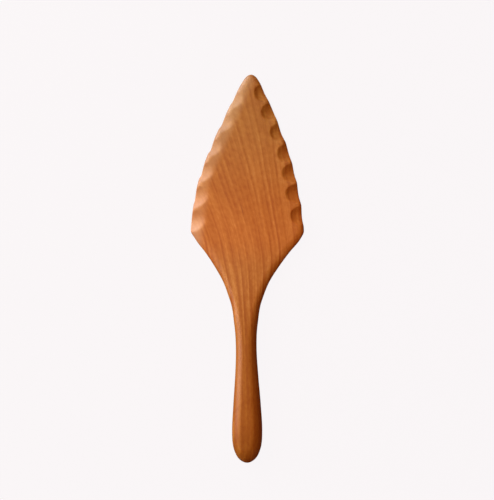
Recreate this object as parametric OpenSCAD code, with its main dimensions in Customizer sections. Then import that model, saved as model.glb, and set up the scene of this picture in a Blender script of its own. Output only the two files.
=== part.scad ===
// Edge slicker carved from one piece of wood: a flat, pointed blade with hollows
// scooped along both edges, a waisted neck and a plump oval handle.
// It lies on its flat back. The tip points along +Y and the carved face looks up.

/* [Overall] */
// Length from the end of the handle to the tip
length = 250; // [220:1:280]

/* [Blade] */
// Width across the shoulders, the widest part
blade_w = 73; // [66:0.2:80]
// Thickness at the shoulders
blade_t = 6.2; // [5.6:0.1:8]
// Thickness behind the tip
tip_t = 4.8; // [4.4:0.1:5.6]
// Radius along the underside of the blade's edges
edge_r = 1.4; // [1:0.1:2]
// Width of the soft fall from the face to the edge at the shoulders
shoulder_fall = 7; // [5:0.5:9]

/* [Handle] */
// Greatest width of the handle
handle_w = 19.4; // [17:0.1:24]
// Greatest thickness of the handle
handle_t = 16; // [14.5:0.1:20]
// Width of the neck at its narrowest
neck_w = 13.4; // [12:0.1:15]
// Thickness of the neck at its narrowest
neck_t = 12.2; // [11:0.1:13]
// How far the neck arches clear of the surface it lies on
neck_lift = 1.2; // [0:0.1:1.6]
// Angle by which the top of the handle leans to the right
handle_lean = 5.5; // [0:0.5:7]

/* [Hollows] */
// Radius of the gouge that cuts the hollows along the right edge
right_gouge_r = 10; // [9:0.5:12]
// How deep it sinks into the face before it runs out through the edge
right_sink = 1.8; // [1:0.1:2]
// Angle by which its stroke falls towards the edge
right_fall = 15; // [8:1:16]
// Radius of the gouge that cuts the hollows along the left edge
left_gouge_r = 18; // [14:1:20]
// How deep it sinks into the face before it runs out through the edge
left_sink = 0.45; // [0.35:0.05:0.6]
// Angle by which its stroke falls towards the edge
left_fall = 15; // [10:1:16]

/* [Hidden] */

wood = "peru";
corner_steps = 6;    // facets round each corner of a section
butt_round = 10;     // length over which the handle's end rounds off
tip_round = 2.4;     // length over which the tip's nose rounds off
right_lean = 8;      // angle by which a stroke leans towards the tip
left_lean = 14;
right_at = 0.53;     // where it crosses the edge, as a share of the way between two ridges
left_at = 0.33;
stroke_run = 40;     // far enough to leave the wood
gouge_facets = 96;
shoulder = blade_w / 2;
grip = handle_w / 2;
neck = neck_w / 2;
neck_top = neck_t + neck_lift;

// Profiles along the tool: [share of the length from the handle's end, value]
HALF_WIDTH = [
    [0.000, 0], [0.012, 0.590 * grip], [0.036, 0.883 * grip], [0.084, grip],
    [0.148, 0.912 * grip], [0.224, 0.767 * grip], [0.292, neck], [0.356, neck + 0.9],
    [0.420, 0.290 * shoulder], [0.480, 0.466 * shoulder], [0.540, 0.742 * shoulder],
    [0.576, 0.934 * shoulder], [0.596, shoulder], [0.620, 0.990 * shoulder],
    [0.660, 0.956 * shoulder], [0.720, 0.876 * shoulder], [0.800, 0.708 * shoulder],
    [0.880, 0.483 * shoulder], [0.940, 0.293 * shoulder], [0.976, 0.168 * shoulder], [1.000, 0],
];
// Sideways drift of the middle
MIDDLE = [
    [0.00, -0.1], [0.15, -0.2], [0.22, -0.4], [0.36, -0.9], [0.42, -0.9], [0.54, 0],
    [0.575, 0.3], [0.60, 0], [0.70, 0], [0.80, 0.9], [0.88, 1.7], [1.00, 2.4],
];
// Heights of the top and of the underside
TOP = [
    [0.000, handle_t - 0.9], [0.084, handle_t], [0.148, handle_t - 0.4], [0.224, neck_top + 1.0],
    [0.292, neck_top], [0.356, neck_top - 1.2], [0.420, blade_t + 4.0], [0.480, blade_t + 2.0],
    [0.540, blade_t + 0.6], [0.600, blade_t], [0.720, blade_t - 0.1], [1.000, tip_t],
];
UNDERSIDE = [
    [0.000, 0.9], [0.036, 0.2], [0.084, 0], [0.148, 0.2], [0.224, 0.8],
    [0.292, neck_lift], [0.356, neck_lift], [0.420, 0.8], [0.480, 0.3], [0.540, 0], [1.000, 0],
];
// Width and height of a section's upper corners, and radius of its lower ones. The handle
// falls away more widely on the right, and the blade's face on the left
RIGHT_CORNER_W = [
    [0.00, 7.4], [0.08, 7.4], [0.22, 6.2], [0.36, 5.2], [0.42, 4.8], [0.48, 5.6],
    [0.56, 0.86 * shoulder_fall], [0.61, 4.0], [0.65, 2.6], [1.00, 2.6],
];
LEFT_CORNER_W = [
    [0.00, 5.8], [0.08, 5.8], [0.22, 4.8], [0.36, 4.4], [0.42, 3.6], [0.48, 3.8],
    [0.56, shoulder_fall], [0.61, 8.0], [0.65, 6.0], [1.00, 4.5],
];
CORNER_H = [
    [0.00, 6.5], [0.08, 6.5], [0.22, 5.2], [0.36, 4.8], [0.42, 4.4], [0.48, 3.4],
    [0.56, 2.4], [0.61, 1.9], [0.65, 1.4], [1.00, 1.4],
];
LOW_R = [
    [0.00, 6.0], [0.08, 6.0], [0.22, 5.0], [0.36, 4.6], [0.42, 3.8], [0.48, 2.6],
    [0.56, edge_r], [1.00, edge_r],
];
// Lean of the top to the right, in degrees, and how much lower it lies at the sides
TOP_LEAN = [[0.00, handle_lean], [0.34, handle_lean], [0.46, handle_lean / 4], [0.56, 0], [1.00, 0]];
TOP_CROWN = [[0.00, 1.0], [0.34, 0.7], [0.50, 0.5], [1.00, 0.3]];

// From the shoulder up: the ridges between the hollows, as shares of the length, how far
// each hollow reaches in from the edge, and how far the outline dips in there
RIGHT_RIDGES = [0.606, 0.662, 0.720, 0.770, 0.824, 0.878, 0.930, 0.976];
RIGHT_REACH = [7.9, 8.8, 8.1, 7.4, 7.4, 7.6, 6.6];
RIGHT_DIP = [0.6, 0.6, 0.45, 0.35, 0.65, 0.1, 0.4];
LEFT_RIDGES = [0.604, 0.664, 0.730, 0.795, 0.859, 0.922, 0.976];
LEFT_REACH = [8.6, 8.2, 7.2, 6.4, 6.4, 5.6];
LEFT_DIP = [0.05, 0.4, 0.75, 0.8, 0.6, 0.35];
// Shape of a dip, from one ridge to the next: [share of the way, share of the depth]
RIGHT_DIP_SHAPE = [[0, 0], [0.42, 1], [1, 0]];
LEFT_DIP_SHAPE = [[0, 0], [0.15, 1], [0.40, 0.55], [0.70, 0], [1, 0]];

// Smooth cubic through a profile's points, level wherever it turns back
function rise(profile, i) =
    (profile[i + 1][1] - profile[i][1]) / (profile[i + 1][0] - profile[i][0]);
function tangent(profile, i) =
    i == 0 ? rise(profile, 0)
    : i == len(profile) - 1 ? rise(profile, i - 1)
    : rise(profile, i - 1) * rise(profile, i) <= 0 ? 0
    : let (before = profile[i][0] - profile[i - 1][0], after = profile[i + 1][0] - profile[i][0])
      (rise(profile, i - 1) * after + rise(profile, i) * before) / (before + after);
function row_at(profile, place, i = 0) =
    i >= len(profile) - 2 || place < profile[i + 1][0] ? i : row_at(profile, place, i + 1);
function along(profile, s) =
    let (
        i = row_at(profile, s / length),
        gap = profile[i + 1][0] - profile[i][0],
        t = (s / length - profile[i][0]) / gap
    )
    (2 * t * t * t - 3 * t * t + 1) * profile[i][1]
    + (t * t * t - 2 * t * t + t) * gap * tangent(profile, i)
    + (3 * t * t - 2 * t * t * t) * profile[i + 1][1]
    + (t * t * t - t * t) * gap * tangent(profile, i + 1);

// How far the edge dips in between two ridges
function dip(s, ridges, depths, shape) =
    let (
        count = lookup(s / length, [for (i = [0 : len(ridges) - 1]) [ridges[i], i]]),
        hollow = min(floor(count), len(depths) - 1)
    )
    depths[hollow] * along(shape, (count - hollow) * length);

// Distance from the middle to the edge. It is splined as its square, which passes
// smoothly to nothing at a rounded end
SQUARES = [for (p = HALF_WIDTH) [p[0], p[1] * p[1]]];
function half_width(s, side) =
    sqrt(max(0, along(SQUARES, s)))
    - (side > 0
        ? dip(s, RIGHT_RIDGES, RIGHT_DIP, RIGHT_DIP_SHAPE)
        : dip(s, LEFT_RIDGES, LEFT_DIP, LEFT_DIP_SHAPE));
function edge_point(s, side) = [along(MIDDLE, s) + side * half_width(s, side), s - length / 2];

// How much of the thickness is left at s, as both ends round off
function round_off(gap, r) = gap >= r ? 1 : sqrt(1 - pow(1 - gap / r, 2));
function fullness(s) = round_off(s, butt_round) * round_off(length - s, tip_round);
function span_z(s) =
    let (
        low = max(0, along(UNDERSIDE, s)),
        high = along(TOP, s),
        lost = (1 - fullness(s)) * (high - low) / 2
    )
    [low + lost, high - lost];

// How much wider a corner looks in a section that crosses a slanting edge
function slant(s, side) =
    let (step = 0.2, from = max(0, s - step), to = min(length, s + step))
    norm([half_width(to, side) - half_width(from, side), to - from]) / (to - from);

function reversed(list) = [for (i = [len(list) - 1 : -1 : 0]) list[i]];

// One side of a section, from beside the middle of the top out round the edge
// to the underside, as [distance from the middle, height]
function half_section(s, side) =
    let (
        half = half_width(s, side),
        z = span_z(s),
        thick = z[1] - z[0],
        corner_w = along(side > 0 ? RIGHT_CORNER_W : LEFT_CORNER_W, s),
        top_w = min(corner_w * slant(s, side), 0.97 * half),
        top_h = min(along(CORNER_H, s), 0.49 * thick),
        low_w = min(along(LOW_R, s) * slant(s, side), 0.97 * half),
        low_h = min(along(LOW_R, s), 0.49 * thick),
        lean = side * tan(along(TOP_LEAN, s)),
        crown = along(TOP_CROWN, s) * thick / handle_t,
        flat = half - top_w
    )
    concat(
        [[flat / 2, z[1] - lean * flat / 2 - crown * pow(flat / 2 / half, 2)]],
        [
            for (i = [0 : corner_steps])
                let (a = 90 * i / corner_steps, out = flat + top_w * sin(a))
                [out, z[1] - lean * out - crown * pow(out / half, 2) - top_h * (1 - cos(a))]
        ],
        [
            for (i = [corner_steps : -1 : 0])
                let (a = 90 * i / corner_steps)
                [half - low_w * (1 - sin(a)), z[0] + low_h * (1 - cos(a))]
        ]
    );
function section(s) =
    let (
        left = [for (p = reversed(half_section(s, -1))) [-p.x, p.y]],
        outline = concat([[0, span_z(s)[1]]], half_section(s, 1), left)
    )
    [for (p = outline) [p.x + along(MIDDLE, s), s - length / 2, p.y]];

// Places of the sections, closer together where the outline turns quickly
function spread(from, to, count) = [for (i = [0 : count - 1]) (from + (to - from) * i / count) * length];
function eased(reach, count) = [for (i = [1 : count]) reach * (1 - cos(90 * i / count))];
STATIONS = concat(
    eased(0.072 * length, 9),
    spread(0.088, 0.384, 15),
    spread(0.384, 0.604, 30),
    spread(0.604, 0.960, 62),
    reversed([for (gap = eased(0.04 * length, 9)) length - gap])
);

module uncut_body() {
    rings = [for (s = STATIONS) each section(s)];
    butt = [along(MIDDLE, 0), -length / 2, (span_z(0)[0] + span_z(0)[1]) / 2];
    tip = [along(MIDDLE, length), length / 2, (span_z(length)[0] + span_z(length)[1]) / 2];
    count = len(STATIONS);
    ring = len(section(length / 2));
    walls = [
        for (i = [0 : count - 2], j = [0 : ring - 1])
            [i * ring + j, i * ring + (j + 1) % ring, (i + 1) * ring + (j + 1) % ring, (i + 1) * ring + j]
    ];
    butt_cap = [for (j = [0 : ring - 1]) [count * ring, (j + 1) % ring, j]];
    tip_cap = [
        for (j = [0 : ring - 1])
            [count * ring + 1, (count - 1) * ring + j, (count - 1) * ring + (j + 1) % ring]
    ];
    polyhedron(
        points = concat(rings, [butt, tip]),
        faces = concat(walls, butt_cap, tip_cap),
        convexity = 4
    );
}

// The stroke that cuts one hollow: a round gouge sinks into the face and falls outward
// through the edge, which it crosses between the ridges at from and to
module stroke(side, from, to, reach, gouge_r, sink, fall, lean, at) {
    a = edge_point(from * length, side);
    b = edge_point(to * length, side);
    up_edge = (b - a) / norm(b - a);
    inward = side * [-up_edge.y, up_edge.x];
    back = inward * cos(lean) + up_edge * sin(lean);
    start_r = sqrt(2 * gouge_r * sink - sink * sink);
    start = a + (b - a) * at + back * (reach - start_r) / cos(lean);
    face_z = along(TOP, start.y + length / 2);
    translate([start.x, start.y, face_z - sink + gouge_r])
        rotate([0, 90 + fall, atan2(-back.y, -back.x)]) {
            sphere(r = gouge_r, $fn = gouge_facets);
            cylinder(r = gouge_r, h = stroke_run, $fn = gouge_facets);
        }
}

module hollows(side, ridges, reaches, gouge_r, sink, fall, lean, at) {
    for (i = [0 : len(reaches) - 1])
        stroke(side, ridges[i], ridges[i + 1], reaches[i], gouge_r, sink, fall, lean, at);
}
module right_hollows() {
    hollows(1, RIGHT_RIDGES, RIGHT_REACH, right_gouge_r, right_sink, right_fall, right_lean, right_at);
}
module left_hollows() {
    hollows(-1, LEFT_RIDGES, LEFT_REACH, left_gouge_r, left_sink, left_fall, left_lean, left_at);
}

module slicker_body() {
    color(wood)
        difference() {
            uncut_body();
            right_hollows();
            left_hollows();
        }
}

slicker_body();
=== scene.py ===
"""Looks of an edge slicker carved from one piece of wood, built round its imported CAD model."""
import math

import bpy
import numpy as np
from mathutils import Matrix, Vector


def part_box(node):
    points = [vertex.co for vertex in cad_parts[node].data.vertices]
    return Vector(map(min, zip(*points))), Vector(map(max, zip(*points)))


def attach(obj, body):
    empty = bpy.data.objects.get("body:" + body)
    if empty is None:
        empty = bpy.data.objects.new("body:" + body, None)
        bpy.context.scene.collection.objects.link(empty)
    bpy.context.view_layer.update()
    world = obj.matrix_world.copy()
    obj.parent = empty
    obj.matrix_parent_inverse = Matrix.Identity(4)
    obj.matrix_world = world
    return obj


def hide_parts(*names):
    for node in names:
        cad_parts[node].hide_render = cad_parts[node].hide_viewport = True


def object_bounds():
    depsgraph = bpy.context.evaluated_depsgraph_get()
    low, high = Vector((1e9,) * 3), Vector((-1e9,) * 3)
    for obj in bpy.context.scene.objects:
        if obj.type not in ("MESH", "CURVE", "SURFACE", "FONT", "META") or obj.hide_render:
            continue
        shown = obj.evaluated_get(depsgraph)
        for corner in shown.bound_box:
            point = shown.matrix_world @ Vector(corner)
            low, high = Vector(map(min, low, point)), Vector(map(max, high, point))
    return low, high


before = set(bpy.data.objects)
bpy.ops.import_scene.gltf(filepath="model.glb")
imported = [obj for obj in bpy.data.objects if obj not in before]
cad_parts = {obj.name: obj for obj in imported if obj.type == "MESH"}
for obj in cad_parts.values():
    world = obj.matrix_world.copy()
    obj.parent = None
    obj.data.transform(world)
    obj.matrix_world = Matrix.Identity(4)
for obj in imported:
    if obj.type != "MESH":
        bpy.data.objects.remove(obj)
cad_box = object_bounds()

# ---------------------------------------------------------------- sizes, in millimetres
METRE = 1000.0
low_corner, high_corner = (np.array(corner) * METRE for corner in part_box("slicker_body"))
LENGTH, THICKNESS = high_corner[1] - low_corner[1], high_corner[2] - low_corner[2]
SHOULDER = (high_corner[0] - low_corner[0]) / 2     # half the blade's greatest width
GRIP = 0.266 * SHOULDER                             # half the handle's greatest width
NECK = 0.183 * SHOULDER                             # half the neck's least width
NECK_LIFT = 1.2                                     # how far the neck arches clear of the floor
HANDLE_TOP = 0.9862 * THICKNESS                     # the lean lifts its left side above this
NECK_TOP = 0.8375 * HANDLE_TOP
BLADE_TOP = 0.3875 * HANDLE_TOP                     # height of the face at the shoulders
TIP_TOP = 0.30 * HANDLE_TOP
EDGE_R = 1.4                                        # radius along the underside of the blade's edges
BUTT_ROUND = 10.0                                   # length over which the handle's end rounds off
TIP_ROUND = 2.4                                     # length over which the tip's nose rounds off
ARRIS = 0.16                                        # softness of the edges that the gouge leaves
# Each hollow is one stroke of a round gouge that sinks into the face and falls outward through
# the edge: the gouge's radius, how deep it sinks at first, the degrees by which the stroke falls
# and leans towards the tip, and where it crosses the edge, as a share of the way between two ridges
RIGHT_STROKE = {"r": 10.0, "sink": 1.8, "fall": 15.0, "lean": 8.0, "at": 0.53}
LEFT_STROKE = {"r": 18.0, "sink": 0.45, "fall": 15.0, "lean": 14.0, "at": 0.33}

# Profiles along the tool: [share of the length from the handle's end, value]
HALF_WIDTH = [
    [0.000, 0.0], [0.012, 0.590 * GRIP], [0.036, 0.883 * GRIP], [0.084, GRIP],
    [0.148, 0.912 * GRIP], [0.224, 0.767 * GRIP], [0.292, NECK], [0.356, NECK + 0.9],
    [0.420, 0.290 * SHOULDER], [0.480, 0.466 * SHOULDER], [0.540, 0.742 * SHOULDER],
    [0.576, 0.934 * SHOULDER], [0.596, SHOULDER], [0.620, 0.990 * SHOULDER],
    [0.660, 0.956 * SHOULDER], [0.720, 0.876 * SHOULDER], [0.800, 0.708 * SHOULDER],
    [0.880, 0.483 * SHOULDER], [0.940, 0.293 * SHOULDER], [0.976, 0.168 * SHOULDER], [1.000, 0.0],
]
# Sideways drift of the middle
MIDDLE = [
    [0.00, -0.1], [0.15, -0.2], [0.22, -0.4], [0.36, -0.9], [0.42, -0.9], [0.54, 0.0],
    [0.575, 0.3], [0.60, 0.0], [0.70, 0.0], [0.80, 0.9], [0.88, 1.7], [1.00, 2.4],
]
# Heights of the top and of the underside
TOP = [
    [0.000, HANDLE_TOP - 0.9], [0.084, HANDLE_TOP], [0.148, HANDLE_TOP - 0.4],
    [0.224, NECK_TOP + 1.0], [0.292, NECK_TOP], [0.356, NECK_TOP - 1.2], [0.420, BLADE_TOP + 4.0],
    [0.480, BLADE_TOP + 2.0], [0.540, BLADE_TOP + 0.6], [0.600, BLADE_TOP],
    [0.720, BLADE_TOP - 0.1], [1.000, TIP_TOP],
]
UNDERSIDE = [
    [0.000, 0.9], [0.036, 0.2], [0.084, 0.0], [0.148, 0.2], [0.224, 0.8],
    [0.292, NECK_LIFT], [0.356, NECK_LIFT], [0.420, 0.8], [0.480, 0.3], [0.540, 0.0], [1.000, 0.0],
]
# Width and height of a section's upper corners, and radius of its lower ones. The handle
# falls away more widely on the right, and the blade's face on the left
RIGHT_CORNER_W = [
    [0.00, 7.4], [0.08, 7.4], [0.22, 6.2], [0.36, 5.2], [0.42, 4.8], [0.48, 5.6],
    [0.56, 6.0], [0.61, 4.0], [0.65, 2.6], [1.00, 2.6],
]
LEFT_CORNER_W = [
    [0.00, 5.8], [0.08, 5.8], [0.22, 4.8], [0.36, 4.4], [0.42, 3.6], [0.48, 3.8],
    [0.56, 7.0], [0.61, 8.0], [0.65, 6.0], [1.00, 4.5],
]
CORNER_H = [
    [0.00, 6.5], [0.08, 6.5], [0.22, 5.2], [0.36, 4.8], [0.42, 4.4], [0.48, 3.4],
    [0.56, 2.4], [0.61, 1.9], [0.65, 1.4], [1.00, 1.4],
]
LOW_R = [
    [0.00, 6.0], [0.08, 6.0], [0.22, 5.0], [0.36, 4.6], [0.42, 3.8], [0.48, 2.6],
    [0.56, EDGE_R], [1.00, EDGE_R],
]
# Lean of the top to the right, in degrees, and how much lower it lies at the sides
TOP_LEAN = [[0.00, 5.5], [0.34, 5.5], [0.46, 1.4], [0.56, 0.0], [1.00, 0.0]]
TOP_CROWN = [[0.00, 1.0], [0.34, 0.7], [0.50, 0.5], [1.00, 0.3]]

# From the shoulder up: the ridges between the hollows, as shares of the length, how far
# each hollow reaches in from the edge, and how far the outline dips in there
RIGHT_RIDGES = [0.606, 0.662, 0.720, 0.770, 0.824, 0.878, 0.930, 0.976]
RIGHT_REACH = [7.9, 8.8, 8.1, 7.4, 7.4, 7.6, 6.6]
RIGHT_DIP = [0.6, 0.6, 0.45, 0.35, 0.65, 0.1, 0.4]
LEFT_RIDGES = [0.604, 0.664, 0.730, 0.795, 0.859, 0.922, 0.976]
LEFT_REACH = [8.6, 8.2, 7.2, 6.4, 6.4, 5.6]
LEFT_DIP = [0.05, 0.4, 0.75, 0.8, 0.6, 0.35]
# Shape of a dip, from one ridge to the next: [share of the way, share of the depth]
RIGHT_DIP_SHAPE = [[0.0, 0.0], [0.42, 1.0], [1.0, 0.0]]
LEFT_DIP_SHAPE = [[0.0, 0.0], [0.15, 1.0], [0.40, 0.55], [0.70, 0.0], [1.0, 0.0]]

# How finely the mesh follows the shape
BUTT_CLOSE, TIP_CLOSE = BUTT_ROUND, 4.0     # lengths at the two ends where sections lie closest
GOUGED_FROM = 0.59 * LENGTH                 # from here to the tip, sections lie close too
END_SECTIONS, HANDLE_SECTIONS, BLADE_SECTIONS = 24, 234, 310
SIDE_STEPS = 78                             # steps round half a section
HOLLOWED_W = 11.0                           # width along the edge that holds the hollows
HOLLOW_FINENESS = 3.2                       # closeness of the points there, against mid-face
UNDERSIDE_FINENESS = 0.9
SAMPLES = 140                               # points tried across half the face
RAYS = 62                                   # rays tried round the edge
RAY_REACH = 40.0                            # further than any ray runs inside the wood
HALVINGS = 24                               # of that reach, to find where a ray leaves the wood
EXPONENT_LIMIT = 60.0                       # keeps the softened edges' exponents finite


# ---------------------------------------------------------------- the carved shape
def along(profile, s):
    """Smooth cubic through a profile's points, level wherever it turns back."""
    place = np.array([point[0] for point in profile]) * LENGTH
    value = np.array([point[1] for point in profile], float)
    gap = np.diff(place)
    rise = np.diff(value) / gap
    mean = (rise[:-1] * gap[1:] + rise[1:] * gap[:-1]) / (gap[:-1] + gap[1:])
    inner = np.where(rise[:-1] * rise[1:] > 0, mean, 0.0)
    tangent = np.concatenate([rise[:1], inner, rise[-1:]])
    row = np.clip(np.searchsorted(place, s, side="right") - 1, 0, len(gap) - 1)
    t = (s - place[row]) / gap[row]
    return (
        (2 * t**3 - 3 * t**2 + 1) * value[row]
        + (t**3 - 2 * t**2 + t) * gap[row] * tangent[row]
        + (3 * t**2 - 2 * t**3) * value[row + 1]
        + (t**3 - t**2) * gap[row] * tangent[row + 1]
    )


def dip(s, side):
    """How far the edge dips in between two ridges."""
    ridges, depths, shape = RIGHT_RIDGES, RIGHT_DIP, RIGHT_DIP_SHAPE
    if side < 0:
        ridges, depths, shape = LEFT_RIDGES, LEFT_DIP, LEFT_DIP_SHAPE
    count = np.interp(s / LENGTH, ridges, np.arange(len(ridges)))
    hollow = np.minimum(count.astype(int), len(depths) - 1)
    return np.array(depths)[hollow] * along(shape, (count - hollow) * LENGTH)


def half_width(s, side):
    """Distance from the middle to the edge. It is splined as its square, which passes smoothly
    to nothing at a rounded end."""
    squares = [[place, value**2] for place, value in HALF_WIDTH]
    return np.sqrt(np.maximum(along(squares, s), 0.0)) - dip(s, side)


def middle(s):
    return along(MIDDLE, s)


def round_off(gap, r):
    """How much of the thickness is left at a gap from an end that rounds off with radius r."""
    return np.sqrt(1 - (1 - np.clip(gap / r, 0, 1)) ** 2)


def span_z(s):
    """Heights of the underside and of the top."""
    low, high = np.maximum(along(UNDERSIDE, s), 0.0), along(TOP, s)
    fullness = round_off(s, BUTT_ROUND) * round_off(LENGTH - s, TIP_ROUND)
    lost = (1 - fullness) * (high - low) / 2
    return low + lost, high - lost


def edge_point(side, s):
    return np.array([middle(s) + side * half_width(s, side), s - LENGTH / 2])


def make_scoops(side, ridges, reach, stroke):
    """The strokes along one edge: centre of the gouge's ball at the start, heading, radius, fall."""
    r, sink = stroke["r"], stroke["sink"]
    lean, fall = math.radians(stroke["lean"]), math.radians(stroke["fall"])
    start_r = math.sqrt(2 * r * sink - sink**2)
    scoops = []
    for start, end, depth_in in zip(ridges[:-1], ridges[1:], reach):
        a, b = edge_point(side, start * LENGTH), edge_point(side, end * LENGTH)
        up_edge = (b - a) / np.hypot(*(b - a))
        inward = side * np.array([-up_edge[1], up_edge[0]])
        back = inward * math.cos(lean) + up_edge * math.sin(lean)
        x, y = a + (b - a) * stroke["at"] + back * (depth_in - start_r) / math.cos(lean)
        z = along(TOP, y + LENGTH / 2) - sink + r
        scoops.append((x, y, z, math.atan2(-back[1], -back[0]), r, fall))
    return scoops


SCOOPS = make_scoops(1, RIGHT_RIDGES, RIGHT_REACH, RIGHT_STROKE)
SCOOPS += make_scoops(-1, LEFT_RIDGES, LEFT_REACH, LEFT_STROKE)


def gouged(z, x, y):
    """Lowers heights z to the floors of the strokes, leaving the edges between them slightly soft."""
    untouched = 1e3
    total = np.ones_like(z)
    for ball_x, ball_y, ball_z, heading, r, fall in SCOOPS:
        ahead = (x - ball_x) * math.cos(heading) + (y - ball_y) * math.sin(heading)
        across = -(x - ball_x) * math.sin(heading) + (y - ball_y) * math.cos(heading)
        ball = r**2 - ahead**2 - across**2
        ball_floor = np.where(ball > 0, ball_z - np.sqrt(np.maximum(ball, 0)), untouched)
        groove = np.sqrt(np.maximum(r**2 - across**2, 0))
        groove_floor = ball_z - (groove + ahead * math.sin(fall)) / math.cos(fall)
        groove_floor = np.where(np.abs(across) < r, groove_floor, untouched)
        begun = ahead * math.cos(fall) - (groove_floor - ball_z) * math.sin(fall) > 0
        floor = np.where(begun, groove_floor, ball_floor)
        below = np.clip((z - floor) / ARRIS, -EXPONENT_LIMIT, EXPONENT_LIMIT)
        total = total + np.exp(below)
    return z - ARRIS * np.log(total)


class Section:
    """The cross-sections at stations s, on one side of the middle."""

    def __init__(self, s, side):
        self.side = side
        self.y = (s - LENGTH / 2)[:, None]
        self.half = half_width(s, side)[:, None]
        self.mid = middle(s)[:, None]
        low, high = span_z(s)
        self.low, self.high = low[:, None], high[:, None]
        most_w, most_h = 0.97 * self.half, 0.49 * (self.high - self.low)
        slant = self.slant(s)
        corner_w = along(RIGHT_CORNER_W if side > 0 else LEFT_CORNER_W, s)[:, None]
        self.corner_w = np.minimum(corner_w * slant, most_w)
        self.corner_h = np.minimum(along(CORNER_H, s)[:, None], most_h)
        low_r = along(LOW_R, s)[:, None]
        self.low_w = np.minimum(low_r * slant, most_w)
        self.low_h = np.minimum(low_r, most_h)
        self.lean = np.tan(np.radians(along(TOP_LEAN, s)))[:, None]
        self.crown = along(TOP_CROWN, s)[:, None]

    def slant(self, s):
        """How much wider a corner looks in a section that crosses a slanting edge."""
        step = 0.2
        ahead, behind = np.minimum(s + step, LENGTH), np.maximum(s - step, 0)
        turn = (half_width(ahead, self.side) - half_width(behind, self.side)) / (ahead - behind)
        return np.sqrt(1 + turn**2)[:, None]

    def corner(self, out, width, height):
        """How far a rounded corner has turned away from the flat at a distance out."""
        q = np.clip((out - (self.half - width)) / width, 0, 1)
        return height * (1 - np.sqrt(1 - q**2))

    def top(self, out):
        """Height of the carved face at a distance out from the middle."""
        share = out / np.maximum(self.half, 1e-6)
        fall = self.crown * share**2 * (self.high - self.low) / THICKNESS
        flat = self.high - fall - self.side * out * self.lean
        z = flat - self.corner(out, self.corner_w, self.corner_h)
        return gouged(z, self.mid + self.side * out, self.y)

    def underside(self, out):
        return self.low + self.corner(out, self.low_w, self.low_h)

    def outside(self, out, z):
        """Positive outside the wood; the join of face and underside is slightly soft."""
        above = np.clip((z - self.top(out)) / ARRIS, -EXPONENT_LIMIT, EXPONENT_LIMIT)
        below = np.clip((self.underside(out) - z) / ARRIS, -EXPONENT_LIMIT, EXPONENT_LIMIT)
        return np.where(out < self.half, np.logaddexp(above, below), 1.0)

    def outline(self):
        """Close points from the top's middle out round the edge to the underside's middle. Round
        the edge they are where rays from a pivot leave the wood: on the blade the pivot lies
        close to the edge, and on the handle deep inside."""
        blade_from, blade_run = 0.40, 0.14
        bladeness = np.clip((self.y / LENGTH + 0.5 - blade_from) / blade_run, 0, 1)
        bladeness = bladeness**2 * (3 - 2 * bladeness)
        handle_x, handle_z = 0.4 * self.half, (self.low + self.high) / 2
        blade_x = self.half - np.minimum(1.7, 0.6 * self.half)
        pivot_x = (1 - bladeness) * handle_x + bladeness * blade_x
        blade_z = np.minimum(self.underside(pivot_x) + 0.45, handle_z)
        pivot_z = (1 - bladeness) * handle_z + bladeness * blade_z
        share = np.linspace(0, 1, SAMPLES)[None, :]
        top_x = pivot_x * share
        top_z = self.top(top_x)
        angle = np.radians(np.linspace(90, -90, RAYS))[None, 1:-1]
        near, far = np.zeros_like(pivot_x + angle), np.full_like(pivot_x + angle, RAY_REACH)
        for _ in range(HALVINGS):
            reach = (near + far) / 2
            out = self.outside(pivot_x + reach * np.cos(angle), pivot_z + reach * np.sin(angle)) > 0
            near, far = np.where(out, near, reach), np.where(out, reach, far)
        fan_x, fan_z = pivot_x + near * np.cos(angle), pivot_z + near * np.sin(angle)
        low_x = pivot_x * (1 - share[:, ::2])
        low_z = self.underside(low_x)
        return np.hstack([top_x, fan_x, low_x]), np.hstack([top_z, fan_z, low_z])


def spaced(values, count, fineness):
    """Each row of points resampled to count + 1, closer together where fineness is high."""
    x, z = values
    step = np.hypot(np.diff(x, axis=1), np.diff(z, axis=1))
    weight = np.cumsum(step * (fineness[:, 1:] + fineness[:, :-1]) / 2, axis=1)
    weight = np.hstack([np.zeros((len(x), 1)), weight])
    rows = []
    for w, px, pz in zip(weight, x, z):
        marks = np.linspace(0, w[-1], count + 1)
        rows.append((np.interp(marks, w, px), np.interp(marks, w, pz)))
    return np.array(rows)


def stations():
    """Places along the tool, closest at its two ends and along the gouged edges."""
    ease = 1 - np.cos(np.radians(np.linspace(0, 90, END_SECTIONS + 1)[1:]))
    butt, tip = BUTT_CLOSE * ease, LENGTH - TIP_CLOSE * ease[::-1]
    handle = np.linspace(BUTT_CLOSE, GOUGED_FROM, HANDLE_SECTIONS + 1)[1:]
    blade = np.linspace(GOUGED_FROM, LENGTH - TIP_CLOSE, BLADE_SECTIONS + 2)[1:-1]
    return np.concatenate([butt, handle, blade, tip])


def half_ring(s, side):
    """The points of one side of each section, closer together over the hollows."""
    section = Section(s, side)
    out, z = section.outline()
    over_hollows = np.clip((out - (section.half - HOLLOWED_W)) / 2, 0, 1)
    on_face = 1 + (HOLLOW_FINENESS - 1) * over_hollows
    fineness = np.where(z > section.low + 0.5, on_face, UNDERSIDE_FINENESS)
    rows = spaced((out, z), SIDE_STEPS, fineness)
    return section.mid + side * rows[:, 0], rows[:, 1]


def end_point(place):
    low, high = span_z(np.array([place]))
    return [middle(place), place - LENGTH / 2, (low[0] + high[0]) / 2]


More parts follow.
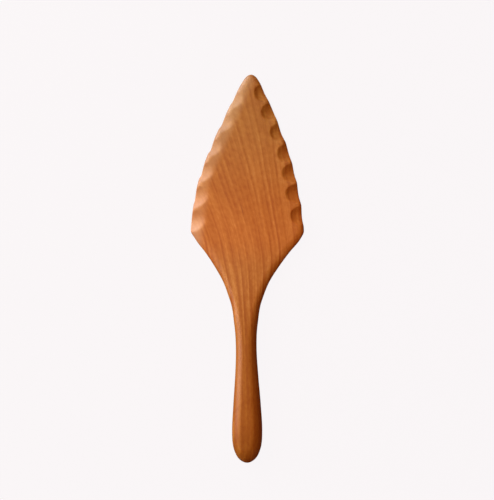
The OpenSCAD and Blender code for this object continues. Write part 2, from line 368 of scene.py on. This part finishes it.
def body_mesh():
    """Rings of points round the tool, joined into quads and closed by a fan at each end."""
    s = stations()
    right_x, right_z = half_ring(s, 1)
    left_x, left_z = half_ring(s, -1)
    ring_x = np.hstack([right_x, left_x[:, -2:0:-1]])
    ring_z = np.hstack([right_z, left_z[:, -2:0:-1]])
    ring_y = np.repeat((s - LENGTH / 2)[:, None], ring_x.shape[1], axis=1)
    points = np.stack([ring_x, ring_y, ring_z], axis=2).reshape(-1, 3)
    count, ring = ring_x.shape
    i, j = np.meshgrid(np.arange(count - 1) * ring, np.arange(ring), indexing="ij")
    after = (j + 1) % ring
    quads = np.stack([i + j, i + ring + j, i + ring + after, i + after], axis=2)
    faces = quads.reshape(-1, 4).tolist()
    butt, tip = len(points), len(points) + 1
    last = (count - 1) * ring
    faces += [[butt, k, (k + 1) % ring] for k in range(ring)]
    faces += [[tip, last + (k + 1) % ring, last + k] for k in range(ring)]
    points = np.vstack([points, end_point(0.0), end_point(LENGTH)])
    mesh = bpy.data.meshes.new("slicker_wood")
    mesh.from_pydata((points / METRE).tolist(), [], faces)
    mesh.polygons.foreach_set("use_smooth", np.ones(len(mesh.polygons), bool))
    mesh.update()
    return mesh


# ---------------------------------------------------------------- the wood
# Places along the tool are shares of its length, as in the profiles. Colours are linear.
DARK_WOOD = (0.288, 0.071, 0.0058, 1)
MIDDLE_WOOD = (0.378, 0.122, 0.0175, 1)
PALE_WOOD = (0.461, 0.178, 0.0385, 1)
# Painted sheen: a pale, pinkish colour laid along the blade's left edge where the lamps' sheen falls
PAINTED_SHEEN_COLOUR = (0.42, 0.275, 0.17, 1)
PORE_BROWN = (0.20, 0.050, 0.012, 1)
GUM_BROWN = (0.16, 0.035, 0.010, 1)
# Tints along the tool: the places where each begins and is full, and what multiplies the colour
TINTS = [
    (0.58, 0.48, (0.92, 1.045, 1.20, 1)),       # cooler from the shoulders down
    (0.58, 0.92, (0.76, 0.97, 1.13, 1)),        # browner up to the tip
    (0.428, 0.292, (0.85, 0.757, 0.50, 1)),     # deeper and redder in the handle
    (0.108, 0.032, (0.90, 0.92, 0.75, 1)),      # darker at the handle's end
]
HEART = (78.0, -10.0)       # x and z of the tree's heart, right of the tool and under the floor
RINGS_PER_MM = 0.27
GRAIN_LEAN = 0.40           # how far the grain runs to the left for each millimetre up the blade
FAN_START = 0.568           # the place where it begins to lean and to spread
FAN_SOFTNESS = 19.0         # how softly it begins, in millimetres
FAN_LENGTH = 88.0           # millimetres in which its spacing grows by as much as it is in the handle


def y_at(share):
    """The y of a place along the tool."""
    return (share - 0.5) * LENGTH


class Nodes:
    """Short forms for building a material's nodes."""

    def __init__(self, material):
        material.use_nodes = True
        self.tree = material.node_tree
        self.tree.nodes.clear()

    def add(self, kind, **settings):
        node = self.tree.nodes.new(kind)
        for name, value in settings.items():
            setattr(node, name, value)
        return node

    def put(self, socket, value):
        if isinstance(value, bpy.types.NodeSocket):
            self.tree.links.new(value, socket)
        else:
            socket.default_value = value

    def math(self, operation, *values):
        node = self.add("ShaderNodeMath", operation=operation)
        for socket, value in zip(node.inputs, values):
            self.put(socket, value)
        return node.outputs[0]

    def swing(self, value, noise, amount):
        """The value moved up and down by a noise, which is 0.5 on average."""
        return self.math("MULTIPLY_ADD", self.math("SUBTRACT", noise, 0.5), amount, value)

    def noise(self, place, scale=1.0, detail=2.0, roughness=0.5, dimensions="3D"):
        node = self.add("ShaderNodeTexNoise", noise_dimensions=dimensions)
        self.put(node.inputs["W" if dimensions == "1D" else "Vector"], place)
        node.inputs["Scale"].default_value = scale
        node.inputs["Detail"].default_value = detail
        node.inputs["Roughness"].default_value = roughness
        return node.outputs["Fac"]

    def line_noise(self, place, scale, detail):
        """Noise that changes along one value only."""
        return self.noise(self.math("MULTIPLY", place, scale), detail=detail, dimensions="1D")

    def streaks(self, place, factors, **settings):
        """Noise that is drawn out along each axis whose factor is small."""
        vector = self.add("ShaderNodeCombineXYZ")
        for socket, value, factor in zip(vector.inputs, place, factors):
            self.put(socket, self.math("MULTIPLY", value, factor))
        return self.noise(vector.outputs[0], **settings)

    def between(self, value, low, high, to_low=0.0, to_high=1.0, smooth=True):
        """From to_low up or down to to_high, as the value goes from low to high."""
        node = self.add("ShaderNodeMapRange", interpolation_type="SMOOTHSTEP" if smooth else "LINEAR")
        for socket, number in zip(node.inputs, (value, low, high, to_low, to_high)):
            self.put(socket, number)
        return node.outputs[0]

    def mix(self, share, first, second, blend="MIX"):
        node = self.add("ShaderNodeMix", data_type="RGBA", blend_type=blend)
        self.put(node.inputs[0], share)
        self.put(node.inputs[6], first)
        self.put(node.inputs[7], second)
        return node.outputs[2]

    def object_place(self):
        """x, y and z on the object, in millimetres."""
        scaled = self.add("ShaderNodeVectorMath", operation="SCALE")
        self.put(scaled.inputs[0], self.add("ShaderNodeTexCoord").outputs["Object"])
        scaled.inputs["Scale"].default_value = METRE
        split = self.add("ShaderNodeSeparateXYZ")
        self.put(split.inputs[0], scaled.outputs[0])
        return split.outputs

    def surface(self, shader):
        output = self.add("ShaderNodeOutputMaterial")
        self.put(output.inputs["Surface"], shader.outputs[0])


def ring_distance(n, x, y, z):
    """Distance from the tree's heart, which is the same all along a growth ring, and x with the
    grain straightened. The grain runs straight in the handle, spreads at the shoulders and leans
    left up the blade."""
    past = n.math("SUBTRACT", y, y_at(FAN_START))
    far = n.math("SQRT", n.math("MULTIPLY_ADD", past, past, FAN_SOFTNESS**2))
    bend = n.math("MULTIPLY", n.math("ADD", past, far), 0.5)
    spread = n.between(y, y_at(0.388), y_at(0.548), 1.0, 1.27)
    spread = n.math("MULTIPLY_ADD", bend, 1 / FAN_LENGTH, spread)
    straight = n.math("DIVIDE", n.math("MULTIPLY_ADD", bend, GRAIN_LEAN, x), spread)
    across = n.math("SUBTRACT", straight, HEART[0])
    up = n.math("SUBTRACT", z, HEART[1])
    ring = n.math("SQRT", n.math("MULTIPLY_ADD", across, across, n.math("MULTIPLY", up, up)))
    drift = n.streaks((x, y, z), (1.0, 0.22, 1.0), scale=0.035)
    waver = n.streaks((x, y, z), (1.0, 0.12, 1.0), scale=0.25, detail=3.0)
    ring = n.math("MULTIPLY_ADD", drift, 3.0, ring)
    return n.math("MULTIPLY_ADD", waver, 0.8, ring), straight


def ring_line(n, count):
    """From 0 in a ring's pale early wood up to 1 in its dark late wood, softly back to 0."""
    phase = n.math("FRACT", count)
    return n.math("MULTIPLY", n.math("POWER", phase, 1.6), n.between(phase, 0.80, 1.0, 1.0, 0.0))


def ring_lines(n, ring, y):
    """The late wood of all the rings, some fainter than others. A second set fills in where the
    fan widens."""
    uneven = n.line_noise(ring, 0.10, detail=2.0)
    count = n.math("MULTIPLY_ADD", uneven, 0.6, n.math("MULTIPLY", ring, RINGS_PER_MM))
    first = ring_line(n, count)
    second = ring_line(n, n.math("ADD", count, 0.5))
    lines = n.math("MULTIPLY_ADD", second, n.between(y, y_at(0.46), y_at(0.70)), first)
    strength = n.between(n.line_noise(ring, 0.30, detail=1.0), 0.30, 0.65, 0.5, 1.0)
    return n.math("MULTIPLY", lines, strength)


def painted_sheen_along_left_edge(n, x, y):
    """1 along the left edge of the blade, where a painted sheen makes the colour paler and the grain
    fainter, and 0 inside.
    The edge is taken as two straight lines, one past the first hollows and one from there to the tip."""
    low_edge = n.between(y, y_at(0.58), y_at(0.72), -SHOULDER, -0.877 * SHOULDER, smooth=False)
    high_edge = n.between(y, y_at(0.72), y_at(0.98), 0.0, 0.781 * SHOULDER, smooth=False)
    inside = n.math("SUBTRACT", x, n.math("ADD", low_edge, high_edge))
    painted_sheen_mask = n.between(inside, 10.0, 3.0)
    return n.math("MULTIPLY", painted_sheen_mask, n.between(y, y_at(0.468), y_at(0.572)))


def grain_tone(n, y, ring, lines, fibre, painted_sheen_mask):
    """How far fibre, dark lines and fine pale lines move the tone. They are clearest at the foot
    of the blade, and fainter in the handle and under the painted sheen along the left edge."""
    pale = n.between(n.streaks((ring, y, 7.0), (0.6, 0.006, 1.0)), 0.50, 0.72)
    grain = n.swing(0.0, fibre, 0.9)
    grain = n.math("MULTIPLY_ADD", lines, -0.80, grain)
    grain = n.math("MULTIPLY_ADD", pale, 0.25, grain)
    on_blade = n.between(y, y_at(0.66), y_at(0.48), 0.92, 1.55)
    on_handle = n.between(y, y_at(0.42), y_at(0.30), 0.0, -0.8)
    grain = n.math("MULTIPLY", grain, n.math("ADD", on_blade, on_handle))
    # Painted sheen: the grain fades along the blade's left edge, as if the sheen washed it out
    return n.math("MULTIPLY", grain, n.math("MULTIPLY_ADD", painted_sheen_mask, -0.7, 1.0))


def wood_colour(n, y, ring, tone, pore, painted_sheen_mask):
    """The tone's colour, with pores, gum streaks, a painted sheen along the blade's left edge and the
    tints along the tool.
    """
    ramp = n.add("ShaderNodeValToRGB")
    n.put(ramp.inputs[0], tone)
    stops = ramp.color_ramp.elements
    stops[0].color = DARK_WOOD
    stops[1].color = PALE_WOOD
    stops.new(0.55).color = MIDDLE_WOOD
    gum = n.between(n.streaks((ring, y, 3.0), (0.9, 0.045, 1.0)), 0.70, 0.80)
    colour = n.mix(n.math("MULTIPLY", pore, 0.30), ramp.outputs[0], PORE_BROWN)
    colour = n.mix(n.math("MULTIPLY", gum, 0.35), colour, GUM_BROWN)
    # Painted sheen: the blade's left edge is mixed towards a pale colour
    painted_sheen_share = n.between(y, y_at(0.66), y_at(0.588), 0.26, 0.46)
    colour = n.mix(n.math("MULTIPLY", painted_sheen_mask, painted_sheen_share), colour, PAINTED_SHEEN_COLOUR)
    for begin, full, tint in TINTS:
        colour = n.mix(n.between(y, y_at(begin), y_at(full)), colour, tint, blend="MULTIPLY")
    return colour


def wood_material():
    """Oiled, close-grained, reddish-brown wood with growth rings, fibre, pores and gum streaks, and a
    painted sheen along the blade's left edge.
    """
    material = bpy.data.materials.new("oiled_cherry")
    n = Nodes(material)
    x, y, z = n.object_place()
    ring, straight = ring_distance(n, x, y, z)
    lines = ring_lines(n, ring, y)
    # Painted sheen along the blade's left edge
    painted_sheen_mask = painted_sheen_along_left_edge(n, x, y)
    fibre = n.streaks((ring, y, z), (1.0, 0.012, 0.2), scale=1.1, detail=3.0, roughness=0.6)
    fine = n.streaks((straight, y, z), (3.0, 0.16, 3.0), scale=1.6)
    pore = n.between(n.streaks((straight, y, z), (7.0, 0.55, 7.0), detail=1.0), 0.66, 0.76)
    band = n.line_noise(ring, 0.11, detail=1.0)
    patch = n.streaks((straight, y, z), (0.9, 0.5, 1.0), scale=0.10, detail=3.0)
    mottle = n.streaks((straight, y, z), (0.7, 0.35, 1.0))

    tone = n.math("ADD", n.swing(0.62, band, 0.6), grain_tone(n, y, ring, lines, fibre, painted_sheen_mask))
    for noise, amount in ((fine, 0.45), (patch, 0.6), (mottle, 0.9)):
        tone = n.swing(tone, noise, amount)
    rough = n.math("MULTIPLY_ADD", fibre, 0.16, 0.38)
    rough = n.math("MULTIPLY_ADD", pore, 0.15, rough)
    relief = n.math("MULTIPLY_ADD", fine, 0.35, n.math("MULTIPLY", pore, -0.5))
    relief = n.math("MULTIPLY_ADD", lines, -0.25, relief)
    bump = n.add("ShaderNodeBump")
    bump.inputs["Strength"].default_value = 0.25
    bump.inputs["Distance"].default_value = 0.00012
    n.put(bump.inputs["Height"], relief)

    shader = n.add("ShaderNodeBsdfPrincipled")
    shader.inputs["IOR"].default_value = 1.54
    n.put(shader.inputs["Base Color"], wood_colour(n, y, ring, tone, pore, painted_sheen_mask))
    n.put(shader.inputs["Roughness"], rough)
    n.put(shader.inputs["Normal"], bump.outputs[0])
    n.surface(shader)
    return material


def make_body():
    body = bpy.data.objects.new("slicker_body_wood", body_mesh())
    bpy.context.scene.collection.objects.link(body)
    body.data.materials.append(wood_material())
    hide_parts("slicker_body")
    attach(body, "root")


# ---------------------------------------------------------------- the studio, in metres
FLOOR_SIZE = 6.0            # from the middle to each side
PAPER_GLOW = (0.950, 0.920, 0.932, 1)
PAPER_MATT = (0.93, 0.90, 0.905, 1)
PAPER_BOUNCE = (0.20, 0.12, 0.06, 1)
EVENNESS = 0.985            # share of the paper's look that no shadow reaches
WORLD_COLOUR = (1.0, 0.30, 0.05, 1)
WORLD_STRENGTH = 0.15
LIGHT_SIZE = 0.6
LIGHT_DISTANCE = 1.4        # from the middle of the tool
# Soft lights: name, azimuth from +X, height above the horizon, watts, colour
LIGHTS = [
    ("key", 130, 30, 16.0, (1, 1, 1)),
    ("side", 165, 18, 12.5, (1, 1, 1)),
    ("high", 145, 60, 11.0, (1.0, 0.55, 0.15)),
    ("sheen", 160, 50, 4.0, (1, 1, 1)),
    ("fill", -45, 16, 2.4, (1.0, 0.33, 0.06)),
]
VIEW_X, VIEW_Y = -0.001 * LENGTH / METRE, 0.0466 * LENGTH / METRE
VIEW_HEIGHT = 1.2908 * LENGTH / METRE       # length that the image takes in at VIEW_Z
VIEW_Z = 0.004


def paper_material():
    """The camera sees even, pale paper with a trace of shadow on it. The light that falls on it
    comes back weak and warm, so that it doesn't wash out the wood's lower edges."""
    material = bpy.data.materials.new("pale_paper")
    n = Nodes(material)
    glow = n.add("ShaderNodeEmission")
    glow.inputs["Color"].default_value = PAPER_GLOW
    matt = n.add("ShaderNodeBsdfDiffuse")
    matt.inputs["Color"].default_value = PAPER_MATT
    bounce = n.add("ShaderNodeBsdfDiffuse")
    bounce.inputs["Color"].default_value = PAPER_BOUNCE
    seen = n.add("ShaderNodeMixShader")
    seen.inputs[0].default_value = EVENNESS
    n.put(seen.inputs[1], matt.outputs[0])
    n.put(seen.inputs[2], glow.outputs[0])
    either = n.add("ShaderNodeMixShader")
    n.put(either.inputs[0], n.add("ShaderNodeLightPath").outputs["Is Camera Ray"])
    n.put(either.inputs[1], bounce.outputs[0])
    n.put(either.inputs[2], seen.outputs[0])
    n.surface(either)
    return material


def make_floor():
    mesh = bpy.data.meshes.new("floor")
    corners = [(-1, -1), (1, -1), (1, 1), (-1, 1)]
    mesh.from_pydata([(x * FLOOR_SIZE, y * FLOOR_SIZE, 0) for x, y in corners], [], [(0, 1, 2, 3)])
    mesh.materials.append(paper_material())
    floor = bpy.data.objects.new("floor", mesh)
    floor.location.z = cad_box[0][2]
    bpy.context.scene.collection.objects.link(floor)


def make_light(name, azimuth, height, power, colour):
    """A square lamp that looks at the middle of the tool."""
    data = bpy.data.lights.new(name, "AREA")
    data.size = LIGHT_SIZE
    data.energy = power
    data.color = colour
    light = bpy.data.objects.new(name, data)
    turn, rise = math.radians(azimuth), math.radians(height)
    flat = math.cos(rise)
    place = Vector((flat * math.cos(turn), flat * math.sin(turn), math.sin(rise)))
    light.location = LIGHT_DISTANCE * place
    light.rotation_mode = "QUATERNION"
    light.rotation_quaternion = (-place).to_track_quat("-Z", "Y")
    bpy.context.scene.collection.objects.link(light)


def make_lights():
    for light in LIGHTS:
        make_light(*light)
    world = bpy.data.worlds.new("studio")
    bpy.context.scene.world = world
    world.use_nodes = True
    background = world.node_tree.nodes["Background"]
    background.inputs["Color"].default_value = WORLD_COLOUR
    background.inputs["Strength"].default_value = WORLD_STRENGTH


def make_camera():
    """A camera straight above, whose sensor the longer side of the image fills."""
    data = bpy.data.cameras.new("camera")
    data.sensor_width = 36.0
    data.lens = 100.0
    data.sensor_fit = "AUTO"
    data.clip_start, data.clip_end = 0.01, 20
    distance = VIEW_HEIGHT * data.lens / data.sensor_width
    camera = bpy.data.objects.new("camera", data)
    camera.location = (VIEW_X, VIEW_Y, VIEW_Z + distance)
    bpy.context.scene.collection.objects.link(camera)
    bpy.context.scene.camera = camera


make_camera()
make_body()
make_floor()
make_lights()
bpy.context.scene.view_settings.view_transform = "Standard"
